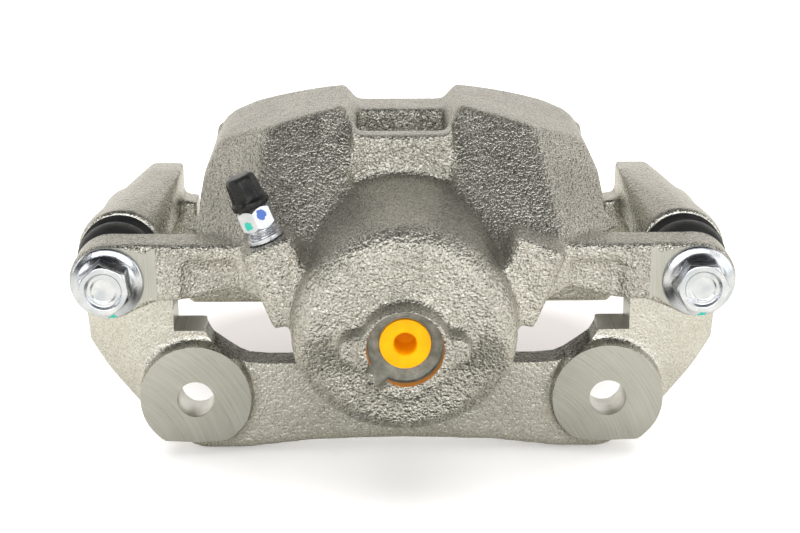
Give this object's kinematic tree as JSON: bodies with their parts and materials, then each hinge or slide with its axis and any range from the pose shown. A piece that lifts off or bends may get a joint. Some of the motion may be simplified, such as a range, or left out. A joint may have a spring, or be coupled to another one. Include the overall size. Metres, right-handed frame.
{
  "type": "brake caliper",
  "caption": "Floating single-piston brake caliper on its bracket, with guide pins and boots, bleeder, plugged hose port and an open gap for the disc and pads.",
  "frame": {"origin": "midway between the two knuckle bolt holes, on the plane of their inboard machined faces", "axes": "+Y outboard along the piston axis, +Z radially outward from the wheel towards the bridge, +X along the line of the two knuckle bolt holes"},
  "size_m": [0.2132, 0.14, 0.117],
  "materials": {
    "cast_silver": "silver metallic coating over a sandy cast-iron grain, satin",
    "piston_steel": "ground and plated steel, bright",
    "seal_rubber": "moulded rubber, satin",
    "boot_rubber": "moulded black rubber, satin sheen",
    "ring_wire": "drawn spring wire",
    "zinc_plate": "bright zinc plating",
    "cap_rubber": "moulded black rubber, soft gloss",
    "plug_plastic": "injection-moulded yellow plastic, satin",
    "pin_steel": "ground, plated steel"
  },
  "bodies": {
    "bracket": {"bracket": "cast_silver", "guide_boot_left": "boot_rubber", "guide_boot_right": "boot_rubber"},
    "caliper": {"caliper_body": "cast_silver", "piston_seal": "seal_rubber", "boot_ring": "ring_wire", "piston_boot": "boot_rubber", "guide_pin_left": "pin_steel", "guide_pin_right": "pin_steel", "guide_bolt_left": "zinc_plate", "guide_bolt_right": "zinc_plate", "pin_bushing": "seal_rubber"},
    "piston": {"piston": "piston_steel"},
    "bleeder": {"bleeder_screw": "zinc_plate"},
    "cap": {"bleeder_cap": "cap_rubber"},
    "plug": {"port_plug": "plug_plastic"}
  },
  "joints": [
    {"name": "caliper_slide", "type": "slide", "parent": "bracket", "child": "caliper", "axis": [0, 1, 0], "range_m": [-0.012, 0.002], "deforming": ["guide_boot_left", "guide_boot_right"]},
    {"name": "piston_travel", "type": "slide", "parent": "caliper", "child": "piston", "axis": [0, 1, 0], "range_m": [0, 0.026], "deforming": ["piston_boot"]},
    {"name": "bleeder_turn", "type": "hinge", "parent": "caliper", "child": "bleeder", "pos_m": [-0.042, -0.035, 0.066], "axis": [-0.3811, 0, 0.9245], "range_deg": [0, 360]},
    {"name": "bleeder_cap_pull", "type": "slide", "parent": "bleeder", "child": "cap", "axis": [-0.3811, 0, 0.9245], "range_m": [0, 0.02]},
    {"name": "port_plug_pull", "type": "slide", "parent": "caliper", "child": "plug", "axis": [0, -1, 0], "range_m": [0, 0.02]}
  ]
}
